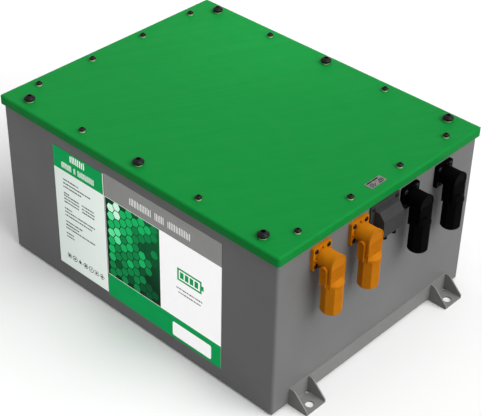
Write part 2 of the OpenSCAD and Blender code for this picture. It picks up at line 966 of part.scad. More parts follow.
module socket_seals() {
  color("dimgray") for (i = [0:3]) at_socket(i) rotate([0, 90, 0]) translate([0, 0, seal_d / 2])
    rotate_extrude() translate([seal_groove_r, 0]) circle(d = seal_d, $fn = 24);
}

// Right angle plug, in the same place as its socket
module plug_body() {
  difference() {
    union() {
      translate([head_x, 0, 0]) x_rod(2 * neck_r, neck_l + over);
      translate([head_x + neck_l, 0, 0])
        x_rod(2 * head_r, front_reach - front_plate_t - head_x - neck_l + over);
      front_plate();
      translate([cable_out - arm_back, -arm_w / 2, -arm_h])
        cube([front_reach - front_plate_t + over - cable_out + arm_back, arm_w, arm_h]);
      for (side = [-1, 1]) side_pad(side);
      back_rib();
      scoop();
      translate([cable_out, 0, -arm_h - thread_l]) cylinder(r = thread_r, h = thread_l + over);
    }
    translate([head_x - over, 0, 0]) x_rod(spigot_d + 2 * fit, spigot_l + spigot_end_gap + over);
    translate([cable_out, 0, -arm_h - thread_l - over])
      cylinder(d = cable_d + 2 * cable_play, h = thread_l + over + crimp_start + crimp_room);
    translate([cable_out, 0, -arm_h]) cylinder(r = crimp_r + fit, h = arm_h);
    translate([head_x, 0, 0]) x_rod(2 * crown_r + 2 * fit, cable_out + crimp_r - head_x);
    front_recess();
    grip_cuts();
  }
}

// Front plate: round above, straight below
module front_plate() {
  translate([front_reach - front_plate_t, 0, 0]) yz_profile(front_plate_t) {
    circle(plate_r);
    translate([-plate_r, -arm_h]) square([2 * plate_r, arm_h]);
  }
}

// Shallow field inside the front plate's rim
module front_recess() {
  inner_r = plate_r - recess_rim;
  translate([front_reach - recess_depth, 0, 0]) yz_profile(over + recess_depth) {
    difference() {
      circle(inner_r);
      translate([-inner_r - over, -2 * inner_r - recess_low])
        square([2 * (inner_r + over), 2 * inner_r]);
    }
  }
}

// Grooves that leave grip ribs across the front plate and its edges
module grip_cuts() {
  groove = grip_pitch / 2;
  for (i = [0:grip_ribs - 1]) {
    z = -grip_start - i * grip_pitch;
    translate([front_reach - grip_depth, -plate_r - over, z - groove])
      cube([over + grip_depth, 2 * (plate_r + over), groove]);
    for (side = [-1, 1]) {
      translate([front_reach - grip_side_l, side * plate_r - grip_side_depth, z - groove])
        cube([grip_side_l + over, 2 * grip_side_depth, groove]);
    }
  }
}

// Arched rim standing out of the arm's side, with a field inside it
module side_pad(side) {
  base = arm_w / 2 - over;
  field_y = side > 0 ? pad_out - base - pad_field_depth : -over;
  translate([0, side > 0 ? base : -pad_out, 0]) difference() {
    pad_block(pad_half, arm_h, pad_out - base);
    translate([0, field_y, 0])
      pad_block(pad_half - pad_rim, arm_h, pad_field_depth + over);
  }
}

// Plate with an arched top, standing on the collar
module pad_block(half, h, depth) {
  translate([pad_mid, depth / 2, 0]) xz_profile(depth) {
    translate([0, -pad_top - pad_half]) circle(half);
    translate([-half, -h]) square([2 * half, h - pad_top - pad_half]);
  }
}

// Rib down the back of the arm
module back_rib() {
  translate([cable_out - arm_back - back_rib_out, -back_rib_w / 2, -arm_h + back_rib_low])
    cube([back_rib_out + over, back_rib_w, arm_h - back_rib_low - back_rib_top]);
}

// Cone and lip that lead from the arm to the gland nut
module scoop() {
  cone_h = collar_r - scoop_top_r;
  translate([cable_out, 0, 0]) {
    translate([0, 0, -scoop_z - cone_h]) cylinder(r1 = collar_r, r2 = scoop_top_r, h = cone_h);
    translate([0, 0, -arm_h]) cylinder(r = collar_r, h = arm_h - scoop_z - cone_h + fit);
  }
}

module plug_pos_a() {
  color(positive_tint) at_socket(0) plug_body();
}

module plug_pos_b() {
  color(positive_tint) at_socket(1) plug_body();
}

module plug_neg_a() {
  color(negative_tint) at_socket(2) plug_body();
}

module plug_neg_b() {
  color(negative_tint) at_socket(3) plug_body();
}

// Eight-sided gland nut with a round lower edge and the cable's bore
module gland_nut() {
  translate([cable_out, 0, -arm_h - gland_l]) difference() {
    intersection() {
      rotate([0, 0, gland_turn]) cylinder(r = gland_r, h = gland_l, $fn = 8);
      rotate_extrude() {
        translate([0, gland_edge_r]) square([gland_r, gland_l - gland_edge_r]);
        square([gland_r - gland_edge_r, gland_l]);
        intersection() {
          translate([gland_r - gland_edge_r, gland_edge_r]) circle(gland_edge_r);
          square([gland_r, gland_edge_r]);
        }
      }
    }
    translate([0, 0, -over]) cylinder(d = cable_d, h = gland_l);
    translate([0, 0, seal_floor]) cylinder(r = thread_r + fit, h = gland_l);
  }
}

module gland_nut_pos_a() {
  color(positive_tint) at_socket(0) gland_nut();
}

module gland_nut_pos_b() {
  color(positive_tint) at_socket(1) gland_nut();
}

module gland_nut_neg_a() {
  color(negative_tint) at_socket(2) gland_nut();
}

module gland_nut_neg_b() {
  color(negative_tint) at_socket(3) gland_nut();
}

// Crown on the pin and crimp barrel for the cable
module plug_contact() {
  crown_x = flange_t + crown_gap;
  difference() {
    union() {
      translate([crown_x, 0, 0]) x_rod(2 * crown_r, cable_out - crown_x);
      translate([cable_out, 0, -arm_h + crimp_start])
        cylinder(r = crimp_r, h = arm_h - crimp_start);
    }
    translate([crown_x - over, 0, 0])
      x_rod(pin_d + 2 * fit, flange_t + spigot_l - crown_x + over);
    translate([cable_out, 0, -arm_h + crimp_start - over])
      cylinder(r = crimp_r - crimp_wall, h = crimp_bore_l + over);
  }
}

module plug_contacts() {
  color(copper_tint) for (i = [0:3]) at_socket(i) plug_contact();
}

module cable_seals() {
  color("dimgray") for (i = [0:3]) at_socket(i) {
    translate([cable_out, 0, -arm_h - gland_l + seal_floor]) ring(2 * thread_r, cable_d, seal_l);
  }
}

// Screws and nuts of the sockets and the hood
module panel_screws() {
  color(screw_tint) {
    for (i = [0:3]) at_socket(i) translate([flange_t, 0, 0]) {
      at_flange_screws() panel_screw(flange_t);
    }
    for (spot = hood_screw_spots()) translate([wall_out + hood_flange_t, spot.x, hood_z + spot.y])
      panel_screw(hood_flange_t);
  }
}

// Flange screw along +X whose head stands on x = 0
module panel_screw(grip) {
  rotate([0, 90, 0])
    button_screw(panel_screw_d, grip + sheet + panel_nut_h + screw_end, panel_head_d);
}

module panel_nuts() {
  color(zinc_tint) {
    for (i = [0:3]) at_socket(i) translate([-sheet - panel_nut_h, 0, 0]) {
      at_flange_screws() panel_nut();
    }
    for (spot = hood_screw_spots()) {
      translate([wall_in - panel_nut_h, spot.x, hood_z + spot.y]) panel_nut();
    }
  }
}

module panel_nut() {
  rotate([0, 90, 0]) hex_nut(panel_nut_af, panel_nut_h, panel_screw_d + 2 * fit);
}

// Signal hood, drawn in place on the connector wall
function hood_screw_spots() = [
  for (y = [-1, 1], z = [-1, 1])
    [y * (hood_flange_w / 2 - hood_screw_inset), z * (hood_flange_h / 2 - hood_screw_inset)]
];

// Side outline of the hood's body: level top, sloping front, upright front
function hood_outline(inset, start) = [
  [start, -hood_h / 2 + inset, 0],
  [hood_reach - inset, -hood_h / 2 + inset, hood_edge_r],
  [hood_reach - inset, hood_h / 2 - hood_slope - inset / 2, hood_edge_r],
  [hood_top_l - inset / 2, hood_h / 2 - inset, hood_edge_r],
  [start, hood_h / 2 - inset, 0]
];

// Hood's body: the side outline between two tapering sides
module hood_body(inset) {
  back = hood_w / 2 - inset;
  front = hood_front_w / 2 - inset;
  start = inset > 0 ? -over : 0;
  intersection() {
    xz_profile(hood_w) polygon(rounded(hood_outline(inset, start)));
    translate([0, 0, -hood_h]) linear_extrude(2 * hood_h)
      polygon([[start, -back], [hood_reach, -front], [hood_reach, front], [start, back]]);
  }
}

module signal_hood() {
  color([0.22, 0.22, 0.22]) translate([wall_out, 0, hood_z]) difference() {
    union() {
      yz_profile(hood_flange_t) rounded_rect(hood_flange_w, hood_flange_h, hood_corner_r);
      hood_body(0);
    }
    hood_body(hood_wall);
    for (spot = hood_screw_spots()) {
      translate([-over, spot.x, spot.y]) x_rod(panel_screw_d + 2 * fit, hood_flange_t + 2 * over);
    }
    for (side = [-1, 1]) {
      translate([hood_gland_x, side * hood_gland_pitch / 2, -hood_h / 2 - over])
        cylinder(d = hood_neck_d + 2 * fit, h = hood_wall + 2 * over);
    }
  }
}

module signal_glands() {
  color(negative_tint) for (side = [-1, 1]) {
    translate([wall_out + hood_gland_x, side * hood_gland_pitch / 2, hood_z - hood_h / 2])
      signal_gland();
  }
}

module signal_gland() {
  neck_h = hood_wall + 2;
  difference() {
    union() {
      translate([0, 0, -hood_gland_l]) cylinder(d = hood_gland_d, h = hood_gland_l);
      cylinder(d = hood_neck_d, h = neck_h);
    }
    translate([0, 0, -hood_gland_l - over])
      cylinder(d = signal_wire_d, h = hood_gland_l + neck_h + 2 * over);
  }
}

// Panel connector behind the hood, with rows of contact holes on its front
module signal_insert() {
  hole_pitch = 4;
  hole_d = 1.8;
  flange = 2;
  color([0.15, 0.15, 0.15]) translate([wall_out, 0, hood_z]) difference() {
    union() {
      translate([-sheet - insert_l, 0, 0])
        yz_profile(sheet + insert_l + insert_reach) rounded_rect(insert_w, insert_h, insert_r);
      translate([-sheet - flange, 0, 0])
        yz_profile(flange) rounded_rect(insert_w + 2 * flange, insert_h + 2 * flange, insert_r);
    }
    for (i = [-3:3], j = [-1:1]) {
      translate([insert_reach / 2, i * hole_pitch, j * hole_pitch]) x_rod(hole_d, insert_reach);
    }
  }
}

// Cells: a can with two drilled terminal pads and a vent
module cell() {
  difference() {
    union() {
      slab(cell_t, cell_w, cell_h, cell_edge_r);
      for (side = [-1, 1]) translate([0, side * terminal_span / 2, cell_h - over])
        slab(terminal_side, terminal_side, terminal_h + over, terminal_r);
    }
    for (side = [-1, 1]) {
      translate([0, side * terminal_span / 2, cell_h + terminal_h - thread_depth])
        cylinder(d = terminal_bolt_d + 2 * fit, h = thread_depth + over);
    }
    translate([0, 0, cell_h - vent_depth])
      slab(vent_w, vent_l, vent_depth + over, vent_w / 2 - fit);
  }
}

function cell_x(i) = module_front - end_plate_t - pad_t - cell_t / 2 - i * cell_pitch;

module cell_row(y) {
  for (i = [0:cells_per_row - 1]) translate([cell_x(i), y, cell_z]) cell();
}

module cells_near_row() {
  color([0.25, 0.4, 0.75]) cell_row(-row_y);
}

module cells_far_row() {
  color([0.25, 0.4, 0.75]) cell_row(row_y);
}

module cell_pads() {
  color("gainsboro") for (i = [0:cells_per_row], side = [-1, 1])
    translate([module_front - end_plate_t - pad_t - i * cell_pitch, side * row_y - cell_w / 2, cell_z])
      cube([pad_t, cell_w, cell_h - end_plate_drop]);
}

module cell_divider() {
  color("whitesmoke") translate([module_back + end_plate_t, -divider_t / 2, cell_z])
    cube([stack_l, divider_t, cell_h - end_plate_drop]);
}

module base_pad() {
  color("gainsboro") translate([module_back + end_plate_t, -stack_w / 2, floor_z])
    cube([stack_l, stack_w, base_pad_t]);
}

// Copper link with a bend between its two ends
module cell_link(span) {
  bend = link_bend_r + bar_t;
  hole = terminal_bolt_d + hole_play;
  tail = span / 2 + link_w / 2 - bend + bar_t / 2;
  difference() {
    xz_profile(link_w) {
      for (side = [-1, 1]) {
        translate([side * (bend - bar_t / 2 + tail / 2), bar_t / 2])
          square([tail, bar_t], center = true);
      }
      difference() {
        circle(bend);
        circle(link_bend_r);
        translate([-2 * bend, -2 * bend]) square([4 * bend, 2 * bend]);
      }
    }
    for (side = [-1, 1]) {
      translate([side * span / 2, 0, -over]) cylinder(d = hole, h = bar_t + 2 * over);
    }
  }
}

// The last pair of cells in a row is joined on its outer side
function link_is_inner(i) = (cells_per_row - i) % 2 == 0;

module cell_links() {
  color(copper_tint) translate([0, 0, link_z]) {
    for (i = [0:cells_per_row - 2], side = [-1, 1]) {
      offset_y = link_is_inner(i + 1) ? inner_terminal_y : inner_terminal_y + terminal_span;
      translate([(cell_x(i) + cell_x(i + 1)) / 2, side * offset_y, 0]) cell_link(cell_pitch);
    }
    translate([cell_x(cells_per_row - 1), 0, 0]) rotate([0, 0, 90]) cell_link(2 * inner_terminal_y);
  }
}

module terminal_bolts() {
  color(zinc_tint) for (i = [0:cells_per_row - 1], row = [-1, 1], side = [-1, 1]) {
    translate([cell_x(i), row * row_y + side * terminal_span / 2, link_z + bar_t])
      hex_screw(terminal_bolt_d, bar_t + thread_depth - over);
  }
}

// End plate at the front of the stack, with a foot along the floor
module end_plate() {
  h = end_plate_top - floor_z;
  difference() {
    union() {
      translate([module_front - end_plate_t, -stack_w / 2, floor_z]) cube([end_plate_t, stack_w, h]);
      translate([module_front - over, -stack_w / 2, floor_z])
        cube([end_foot_l + over, stack_w, end_foot_t]);
      for (y = [-1, 0, 1]) translate([module_front, y * end_rib_y, floor_z]) xz_profile(end_rib_t)
        polygon([
          [-over, 0],
          [end_foot_l, 0],
          [end_foot_l, end_foot_t],
          [0, contactor_rise - contactor_gap],
          [-over, contactor_rise - contactor_gap]
        ]);
    }
    for (y = [-stud_y, stud_y]) translate([front_stud_x, y, floor_z - over])
      cylinder(d = m8_hole_d, h = end_foot_t + 2 * over);
    for (z = side_screw_zs, side = [-1, 1]) {
      translate([module_front - end_plate_t / 2, side * stack_w / 2, z])
        y_rod(side_screw_d + 2 * fit, 2 * side_screw_l);
    }
  }
}

module end_plate_front() {
  color("silver") difference() {
    end_plate();
    for (spot = contactor_screw_spots) {
      translate([module_front - end_plate_t - over, spot.x, spot.y])
        x_rod(contactor_screw_d + 2 * fit, end_plate_t + 2 * over);
    }
  }
}

module end_plate_rear() {
  color("silver") translate([2 * module_mid, 0, 0]) mirror([1, 0, 0]) end_plate();
}

module side_plate(side) {
  y = side * (stack_w + side_plate_t) / 2;
  difference() {
    translate([module_back, y - side_plate_t / 2, side_plate_z])
      cube([module_l, side_plate_t, side_plate_h]);
    for (x = side_screw_xs, z = side_screw_zs) {
      translate([x, y, z]) y_rod(side_screw_d + hole_play, side_plate_t + 2 * over);
    }
  }
}

module side_plate_near() {
  color("lightsteelblue") side_plate(-1);
}

module side_plate_far() {
  color("lightsteelblue") side_plate(1);
}

module side_plate_screws() {
  color(screw_tint) for (side = [-1, 1], x = side_screw_xs, z = side_screw_zs) {
    translate([x, side * (stack_w / 2 + side_plate_t), z]) rotate([-side * 90, 0, 0])
      inner_screw(side_screw_d, side_screw_l);
  }
}

// Cutters where the two leads leave the cover
module cover_slots() {
  for (side = [-1, 1]) {
    translate([module_front - cover_t - over, side * inner_terminal_y, link_z - slot_play])
      translate([0, -bar_w / 2 - slot_play, 0])
        cube([cover_t + 2 * over, bar_w + 2 * slot_play, bar_t + 2 * slot_play]);
  }
}

// Insulating cover that stands on the end plates
module cell_cover() {
  skirt = cover_top - end_plate_top;
  color([0.9, 0.9, 0.85]) difference() {
    union() {
      translate([module_back, -stack_w / 2, cover_top - cover_t]) cube([module_l, stack_w, cover_t]);
      for (x = [module_back, module_front - cover_t]) {
        translate([x, -stack_w / 2, end_plate_top]) cube([cover_t, stack_w, skirt]);
      }
      at_board_corners() translate([0, 0, cover_top - cover_t / 2])
        cylinder(d = boss_d, h = cover_t / 2 + boss_h);
    }
    cover_slots();
    at_board_corners() translate([0, 0, cover_top - cover_t - over])
      cylinder(d = bms_screw_d + 2 * fit, h = cover_t + boss_h + 2 * over);
  }
}

// The four corners of the management board, where its screws stand
module at_board_corners() {
  for (x = [-bms_x, bms_x], y = [-bms_y, bms_y]) translate([module_mid + x, y, 0]) children();
}

// Heat sink plate with the board's standoffs
module bms_plate() {
  color("silver") difference() {
    union() {
      translate([module_mid, 0, cover_top + boss_h])
        slab(board_l, board_w, bms_plate_t, board_corner_r);
      at_board_corners() translate([0, 0, cover_top + boss_h + bms_plate_t - over])
        cylinder(d = standoff_d, h = standoff_h + over);
    }
    at_board_corners() translate([0, 0, cover_top])
      cylinder(d = bms_screw_d + 2 * fit, h = boss_h + bms_plate_t + standoff_h + over);
  }
}

// Battery management board
module bms_board() {
  color("darkgreen") translate([module_mid, 0, board_z + boss_h]) difference() {
    union() {
      slab(board_l, board_w, board_t, board_corner_r);
      translate([0, 0, board_t / 2]) {
        board_switches();
        board_capacitors();
        translate([board_l / 2 - header_d - header_inset, -header_w / 2, 0])
          cube([header_d, header_w, board_t / 2 + header_h]);
      }
    }
    for (x = [-bms_x, bms_x], y = [-bms_y, bms_y]) {
      translate([x, y, -over]) cylinder(d = bms_screw_d + 2 * fit, h = board_t + 2 * over);
    }
  }
}

// Power switches in two rows
module board_switches() {
  pitch = (board_l - 2 * switch_margin) / switch_count;
  for (i = [0:switch_count - 1], side = [-1, 1]) {
    translate([-board_l / 2 + switch_margin + (i + 0.5) * pitch, side * switch_row_y, 0])
      translate([-switch_l / 2, -switch_w / 2, 0]) cube([switch_l, switch_w, board_t / 2 + switch_h]);
  }
}

// Capacitors in a row on the board's middle line
module board_capacitors() {
  for (i = [0:capacitor_count - 1]) {
    translate([-board_l / 4 + i * capacitor_pitch, 0, 0])
      cylinder(d = capacitor_d, h = board_t / 2 + capacitor_h);
  }
}

module bms_screws() {
  color(screw_tint) at_board_corners() translate([0, 0, board_z + boss_h + board_t])
    inner_screw(bms_screw_d, board_t + standoff_h + bms_plate_t + boss_h + screw_end);
}

// Contactor on the front end plate
module contactor() {
  body_d = contactor_d - contactor_boss_h;
  ears_w = contactor_w + 2 * contactor_ear;
  ears_h = 0.8 * contactor_h;
  color([0.2, 0.2, 0.22]) difference() {
    union() {
      translate([module_front, -pole_y, relay_z]) {
        translate([0, -contactor_w / 2, 0]) cube([body_d, contactor_w, contactor_h]);
        translate([0, -ears_w / 2, (contactor_h - ears_h) / 2]) cube([contactor_ear_t, ears_w, ears_h]);
      }
      for (y = [fuse_y, lead_y]) translate([module_front + body_d - over, y, terminal_z]) {
        x_rod(contactor_boss_d, contactor_boss_h + over);
        x_rod(m8_d, contactor_boss_h + over + bar_t + m8_nut_h + stud_end);
      }
    }
    for (spot = contactor_screw_spots) translate([module_front - over, spot.x, spot.y])
      x_rod(contactor_screw_d + 2 * fit, contactor_ear_t + 2 * over);
  }
}

module contactor_screws() {
  color(screw_tint) for (spot = contactor_screw_spots) {
    translate([module_front + contactor_ear_t, spot.x, spot.y]) rotate([0, 90, 0])
      inner_screw(contactor_screw_d, contactor_ear_t + end_plate_t - over);
  }
}

// Fuse with a blade at each end, standing on the contactor's first terminal
module fuse() {
  x = contactor_face;
  color([0.88, 0.86, 0.8]) difference() {
    union() {
      translate([x + bar_t / 2, fuse_y, fuse_z]) {
        cylinder(d = fuse_d, h = fuse_l);
        for (z = [0, fuse_l - fuse_cap_h]) {
          translate([0, 0, z]) cylinder(d = fuse_d + fuse_cap_wall, h = fuse_cap_h);
        }
      }
      translate([x, fuse_y - bar_w / 2, fuse_z - blade_l])
        cube([bar_t, bar_w, 2 * blade_l + fuse_l]);
    }
    for (z = [terminal_z, fuse_top_hole_z]) {
      translate([x - over, fuse_y, z]) x_rod(m8_hole_d, bar_t + 2 * over);
    }
  }
}

// Bar that joins the two sockets of a pole, with a tab down to the fuse or the shunt
module socket_bar(side, tab_y) {
  length = socket_pitch + bar_w + bar_end;
  translate([bar_face - bar_t, 0, 0]) difference() {
    union() {
      translate([0, side * pole_y - length / 2, socket_z - bar_w / 2]) cube([bar_t, length, bar_w]);
      translate([0, tab_y - bar_w / 2, socket_bar_low])
        cube([bar_t, bar_w, socket_z - socket_bar_low]);
    }
    for (y = [-1, 1]) translate([-over, side * pole_y + y * socket_pitch / 2, socket_z])
      x_rod(pin_d + 2 * fit, bar_t + 2 * over);
    translate([-over, tab_y, fuse_top_hole_z]) x_rod(m8_hole_d, bar_t + 2 * over);
  }
}

module positive_bar() {
  color(copper_tint) socket_bar(-1, fuse_y);
}

module negative_bar() {
  color(copper_tint) socket_bar(1, pole_y);
}

// Flat part of a lead: from a cell terminal forward, then across to the pole
module lead_top(y_from, y_to, x_to) {
  x_from = cell_x(0) - bar_w / 2;
  turn_x = x_to - bar_w;
  translate([0, 0, link_z]) {
    translate([x_from, y_from - bar_w / 2, 0]) cube([turn_x - x_from + over, bar_w, bar_t]);
    translate([turn_x, min(y_from, y_to) - bar_w / 2, 0])
      cube([bar_w, abs(y_to - y_from) + bar_w, bar_t]);
  }
}

// Cutter for the hole over the first cell's terminal
module lead_hole(y) {
  translate([cell_x(0), y, link_z - over])
    cylinder(d = terminal_bolt_d + hole_play, h = bar_t + 2 * over);
}

module positive_lead() {
  x_to = contactor_face + bar_t;
  color(copper_tint) difference() {
    union() {
      lead_top(-inner_terminal_y, lead_y, x_to);
      translate([contactor_face, lead_y - bar_w / 2, terminal_z - bar_w / 2])
        cube([bar_t, bar_w, link_z + bar_t - terminal_z + bar_w / 2]);
    }
    lead_hole(-inner_terminal_y);
    translate([contactor_face - over, lead_y, terminal_z]) x_rod(m8_hole_d, bar_t + 2 * over);
  }
}

// Shunt: two blocks joined by thin resistance strips
module shunt() {
  color([0.72, 0.55, 0.4]) translate([shunt_front, pole_y, 0]) difference() {
    union() {
      translate([-shunt_block_t, -bar_w / 2, socket_bar_low])
        cube([shunt_block_t, bar_w, shunt_block_h]);
      translate([-lead_setback, -bar_w / 2, shunt_low]) cube([lead_setback, bar_w, shunt_block_h]);
      for (i = [0:strip_count - 1]) {
        translate([strip_t - shunt_block_t + i * 2 * strip_t, -bar_w / 2 + strip_inset, shunt_hole_low])
          cube([strip_t, bar_w - 2 * strip_inset, shunt_gap + shunt_block_h]);
      }
    }
    translate([-shunt_block_t - over, 0, fuse_top_hole_z])
      x_rod(m8_d + 2 * fit, shunt_block_t + 2 * over);
    translate([-lead_setback - over, 0, shunt_hole_low])
      x_rod(m8_d + 2 * fit, lead_setback + 2 * over);
  }
}

module negative_lead() {
  back = shunt_front - lead_setback;
  color(copper_tint) difference() {
    union() {
      lead_top(inner_terminal_y, pole_y, back);
      translate([back - bar_t, pole_y - bar_w / 2, shunt_low])
        cube([bar_t, bar_w, link_z + bar_t - shunt_low]);
    }
    lead_hole(inner_terminal_y);
    translate([back - bar_t - over, pole_y, shunt_hole_low]) x_rod(m8_hole_d, bar_t + 2 * over);
  }
}

module power_bolts() {
  color(zinc_tint) {
    translate([bar_face, fuse_y, fuse_top_hole_z]) rotate([0, 90, 0])
      hex_screw(m8_d, 2 * bar_t + m8_nut_h + stud_end);
    translate([bar_face, pole_y, fuse_top_hole_z]) rotate([0, 90, 0])
      hex_screw(m8_d, bar_t + shunt_block_t - over);
    translate([shunt_front - lead_setback - bar_t, pole_y, shunt_hole_low]) rotate([0, -90, 0])
      hex_screw(m8_d, bar_t + lead_setback - over);
  }
}

module m8_nuts() {
  color(zinc_tint) {
    for (i = [0:3]) at_socket(i) {
      translate([-sheet - barrel_l - bar_t - m8_nut_h, 0, 0]) m8_nut_x(pin_d);
    }
    for (y = [fuse_y, lead_y]) translate([contactor_face + bar_t, y, terminal_z]) m8_nut_x(m8_d);
    translate([contactor_face - m8_nut_h, fuse_y, fuse_top_hole_z]) m8_nut_x(m8_d);
    for (spot = weld_stud_spots) translate([spot.x, spot.y, floor_z + end_foot_t])
      hex_nut(m8_nut_af, m8_nut_h, m8_d + 2 * fit);
  }
}

module m8_nut_x(d) {
  rotate([0, 90, 0]) hex_nut(m8_nut_af, m8_nut_h, d + 2 * fit);
}

case();
foot_rail_front();
foot_rail_rear();
lid();
lid_gasket();
lid_screws_large();
lid_screws_small();
lid_washers();
rivet_nuts();
lid_plate();
label_data();
label_front();
socket_pos_a();
socket_pos_b();
socket_neg_a();
socket_neg_b();
socket_pins();
socket_seals();
plug_pos_a();
plug_pos_b();
plug_neg_a();
plug_neg_b();
gland_nut_pos_a();
gland_nut_pos_b();
gland_nut_neg_a();
gland_nut_neg_b();
plug_contacts();
cable_seals();
panel_screws();
panel_nuts();
signal_hood();
signal_insert();
signal_glands();
cells_near_row();
cells_far_row();
cell_pads();
cell_divider();
base_pad();
cell_links();
terminal_bolts();
end_plate_front();
end_plate_rear();
side_plate_near();
side_plate_far();
side_plate_screws();
cell_cover();
contactor();
contactor_screws();
fuse();
shunt();
positive_bar();
negative_bar();
positive_lead();
negative_lead();
power_bolts();
m8_nuts();
bms_plate();
bms_board();
bms_screws();
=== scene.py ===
import math
import random

import bpy
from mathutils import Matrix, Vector


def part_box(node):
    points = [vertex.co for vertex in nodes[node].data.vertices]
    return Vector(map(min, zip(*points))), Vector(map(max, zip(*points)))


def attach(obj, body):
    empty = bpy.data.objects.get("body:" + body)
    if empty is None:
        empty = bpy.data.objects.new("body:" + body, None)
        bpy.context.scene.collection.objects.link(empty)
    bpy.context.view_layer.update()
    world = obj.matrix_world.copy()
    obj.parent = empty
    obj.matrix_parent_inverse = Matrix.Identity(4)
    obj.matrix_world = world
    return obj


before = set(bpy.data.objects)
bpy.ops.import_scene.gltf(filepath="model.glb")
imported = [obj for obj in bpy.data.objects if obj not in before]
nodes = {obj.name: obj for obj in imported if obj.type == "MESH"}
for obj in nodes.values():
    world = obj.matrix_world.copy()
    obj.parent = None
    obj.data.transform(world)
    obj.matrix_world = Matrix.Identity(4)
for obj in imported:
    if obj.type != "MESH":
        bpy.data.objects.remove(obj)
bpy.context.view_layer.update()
MM = 0.001

# Sockets of the Mix node when it mixes colours
MIX_FACTOR, MIX_A, MIX_B, MIX_COLOR = 0, 6, 7, 2

# The part of its range from 0 to 1 that a noise mostly fills
NOISE_START, NOISE_END = 0.3, 0.7


def box_mm(name):
    """Lowest and highest corner of a node, in millimetres."""
    return tuple(tuple(v / MM for v in corner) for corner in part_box(name))


(FRONT_X0, FILM_Y, FRONT_Z0), (FRONT_X1, _, FRONT_Z1) = box_mm("label_front")
(DATA_X0, _, DATA_Z0), (DATA_X1, _, DATA_Z1) = box_mm("label_data")
(_, PLATE_Y0, _), (PLATE_X1, _, PLATE_TOP) = box_mm("lid_plate")


# Materials
def linear(r, g, b):
    """Colour given as sRGB 0 to 255, as a linear tuple."""
    def one(c):
        c /= 255
        return c / 12.92 if c <= 0.04045 else ((c + 0.055) / 1.055) ** 2.4
    return (one(r), one(g), one(b), 1.0)


def scaled(color, k):
    """The colour made k times as bright."""
    return tuple(c * k for c in color[:3]) + (1.0,)


def grey(level):
    return (level, level, level, 1.0)


class Mat:
    """A material with a Principled shader and short calls for its nodes."""

    def __init__(self, name, color, rough, metal=0.0, specular=0.5):
        self.mat = bpy.data.materials.new(name)
        self.mat.use_nodes = True
        self.mat.diffuse_color = color
        self.tree = self.mat.node_tree
        self.bsdf = self.tree.nodes["Principled BSDF"]
        self.bsdf.inputs["Base Color"].default_value = color
        self.bsdf.inputs["Roughness"].default_value = rough
        self.bsdf.inputs["Metallic"].default_value = metal
        self.bsdf.inputs["Specular IOR Level"].default_value = specular
        self.coord = self.tree.nodes.new("ShaderNodeTexCoord").outputs["Object"]

    def node(self, kind, **values):
        """A node with its settings, where in_NAME sets the input of that name."""
        n = self.tree.nodes.new(kind)
        for key, value in values.items():
            if key.startswith("in_"):
                n.inputs[key[3:].replace("_", " ")].default_value = value
            else:
                setattr(n, key, value)
        return n

    def link(self, a, b):
        self.tree.links.new(a, b)

    def mapped(self, scale, turn=(0, 0, 0)):
        """Object coordinates, turned first and stretched after that."""
        turned = self.node("ShaderNodeMapping", in_Rotation=turn)
        stretched = self.node("ShaderNodeMapping", in_Scale=scale)
        self.link(self.coord, turned.inputs["Vector"])
        self.link(turned.outputs["Vector"], stretched.inputs["Vector"])
        return stretched.outputs["Vector"]

    def axis(self, name):
        """One of the object coordinates."""
        n = self.node("ShaderNodeSeparateXYZ")
        self.link(self.coord, n.inputs["Vector"])
        return n.outputs[name]

    def noise(self, scale, detail, vector=None, roughness=0.5):
        n = self.node("ShaderNodeTexNoise", in_Scale=scale, in_Detail=detail, in_Roughness=roughness)
        self.link(vector or self.coord, n.inputs["Vector"])
        return n.outputs["Fac"]

    def ramp(self, fac, low, high, start, end):
        """A value that goes from low to high while fac goes from start to end."""
        n = self.node("ShaderNodeMapRange", in_From_Min=start, in_From_Max=end,
                      in_To_Min=low, in_To_Max=high)
        self.link(fac, n.inputs["Value"])
        return n.outputs["Result"]

    def tint(self, fac, low, high, start=NOISE_START, end=NOISE_END):
        """Base colour that goes from low to high while fac goes from start to end."""
        n = self.node("ShaderNodeMix", data_type="RGBA")
        self.link(self.ramp(fac, 0, 1, start, end), n.inputs[MIX_FACTOR])
        n.inputs[MIX_A].default_value = low
        n.inputs[MIX_B].default_value = high
        self.link(n.outputs[MIX_COLOR], self.bsdf.inputs["Base Color"])

    def gloss(self, fac, low, high):
        """Roughness between low and high that follows a noise."""
        self.link(self.ramp(fac, low, high, NOISE_START, NOISE_END), self.bsdf.inputs["Roughness"])

    def bump(self, height, strength, distance):
        n = self.node("ShaderNodeBump", in_Strength=strength, in_Distance=distance)
        self.link(height, n.inputs["Height"])
        self.link(n.outputs["Normal"], self.bsdf.inputs["Normal"])


def coated(name, color, rough, grain=700.0, depth=0.00008, spread=0.05, specular=0.16):
    """Powder coat: a fine orange peel, slow changes of tone and of gloss."""
    m = Mat(name, color, rough, specular=specular)
    m.tint(m.noise(scale=9.0, detail=3.0), scaled(color, 1 - spread), scaled(color, 1 + spread))
    m.gloss(m.noise(scale=35.0, detail=4.0), rough - 0.06, rough + 0.06)
    m.bump(m.noise(scale=grain, detail=2.0), strength=0.25, distance=depth)
    return m


def lid_coat(name, color, rough):
    """The lid's paint: a fine orange peel, and long, very faint lighter and darker streaks across it that
    are a painted reflection.
    """
    m = Mat(name, color, rough, specular=0.05)
    across = m.mapped(scale=(150, 5.0, 20), turn=(0, 0, math.radians(26)))
    # Painted reflection: the lid's tone streaks lighter and darker, as if streaky surroundings were
    # mirrored in it
    painted_reflection_streak = m.noise(scale=1.0, detail=4.0, vector=across, roughness=0.6)
    m.tint(painted_reflection_streak, scaled(color, 0.97), scaled(color, 1.03), start=0.36, end=0.64)
    m.gloss(m.noise(scale=35.0, detail=4.0), rough - 0.06, rough + 0.06)
    m.bump(m.noise(scale=700.0, detail=2.0), strength=0.2, distance=0.00007)
    return m


